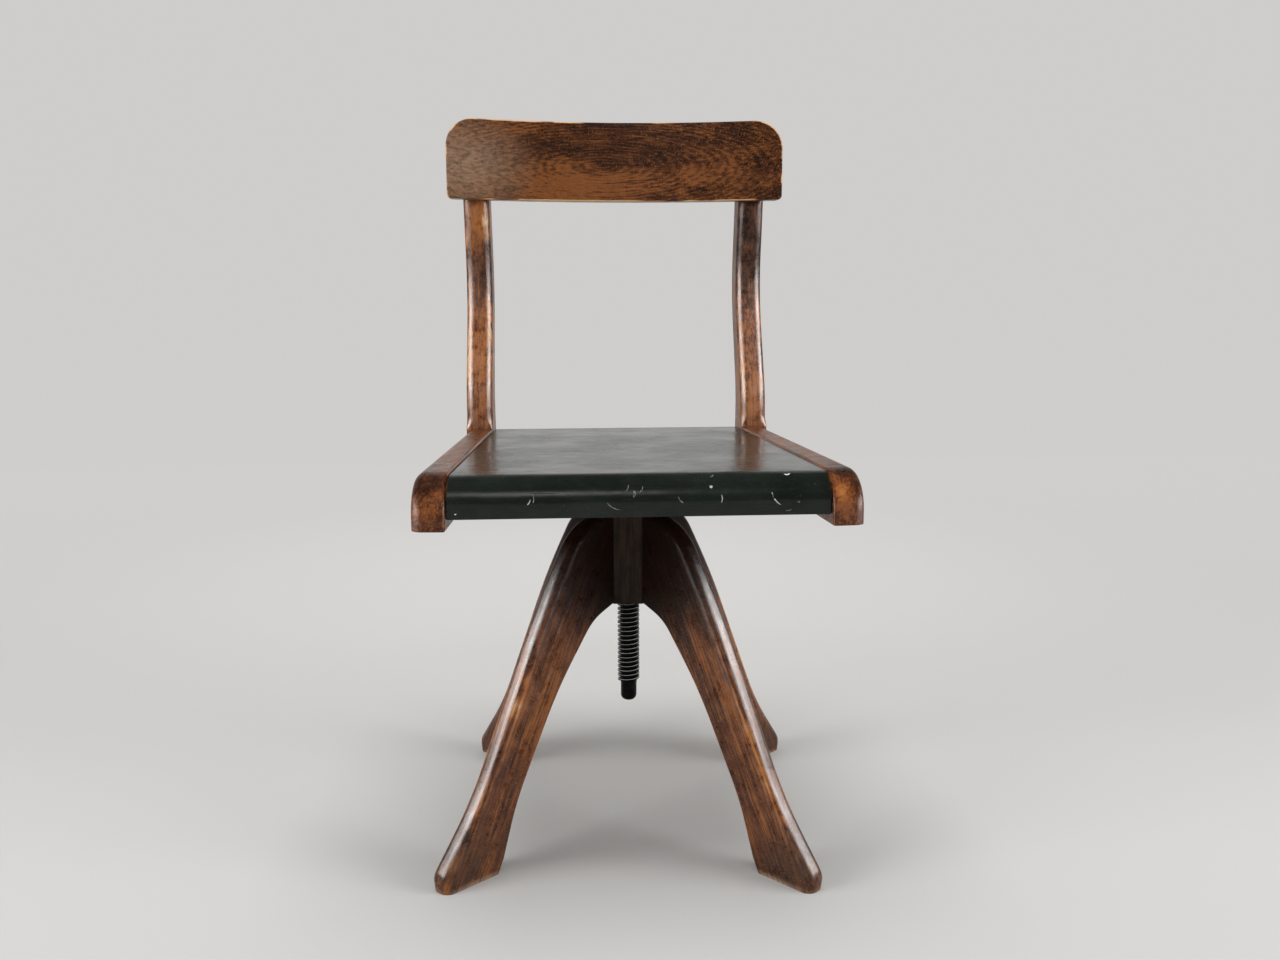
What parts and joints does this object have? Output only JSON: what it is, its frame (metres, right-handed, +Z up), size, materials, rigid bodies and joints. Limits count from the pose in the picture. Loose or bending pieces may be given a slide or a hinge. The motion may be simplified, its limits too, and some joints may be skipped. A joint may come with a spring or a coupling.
{
  "type": "screw-lift swivel chair",
  "caption": "Wooden swivel chair: a framed, covered seat with a bowed back rail turns and rises on a steel screw spindle, over a hub with splayed, shaped legs.",
  "frame": {"origin": "on the floor under the middle of the chair's outer box at rest, with the seat screwed right down", "axes": "+Z up, -Y the way the sitter faces, +X to the sitter's left-hand side seen from the front, which is the picture's right"},
  "size_m": [0.4196, 0.472, 0.785],
  "materials": {
    "varnished_wood": "dark reddish-brown varnish, worn to pale orange wood along the edges",
    "plain_wood": "bare wood, hidden under the seat",
    "black_iron": "black, slightly rough casting",
    "oiled_steel": "blackened and oiled, with bright thread crests",
    "dull_screws": "dulled steel",
    "green_linoleum": "very dark green sheet, polished by use, with small scratches"
  },
  "bodies": {
    "base": {"hub": "varnished_wood", "spindle_nut": "black_iron", "nut_screws": "dull_screws", "leg_rear_right": "varnished_wood", "leg_rear_left": "varnished_wood", "leg_front_left": "varnished_wood", "leg_front_right": "varnished_wood", "leg_dowels": "plain_wood"},
    "washer": {"stop_washer": "oiled_steel"},
    "seat": {"back_post_left": "varnished_wood", "back_post_right": "varnished_wood", "bearer_front": "plain_wood", "bearer_rear": "plain_wood", "board_screws": "dull_screws", "corner_block_front_left": "plain_wood", "corner_block_front_right": "plain_wood", "corner_block_rear_left": "plain_wood", "corner_block_rear_right": "plain_wood", "crest_rail": "varnished_wood", "crest_screws": "dull_screws", "front_rail": "varnished_wood", "rear_rail": "varnished_wood", "seat_board": "plain_wood", "seat_cover": "green_linoleum", "side_rail_left": "varnished_wood", "side_rail_right": "varnished_wood", "spider": "black_iron", "spider_screws": "dull_screws", "spindle": "oiled_steel"}
  },
  "joints": [
    {"name": "seat_rise", "type": "slide", "parent": "base", "child": "washer", "axis": [0, 0, 1], "range_m": [0, 0.12]},
    {"name": "seat_turn", "type": "hinge", "parent": "washer", "child": "seat", "pos_m": [0, -0.0344, 0], "axis": [0, 0, 1], "range_deg": [0, 8640]}
  ],
  "couplings": [
    {"joint": "seat_rise", "follows": "seat_turn", "m_per_rad": 0.00079577}
  ]
}
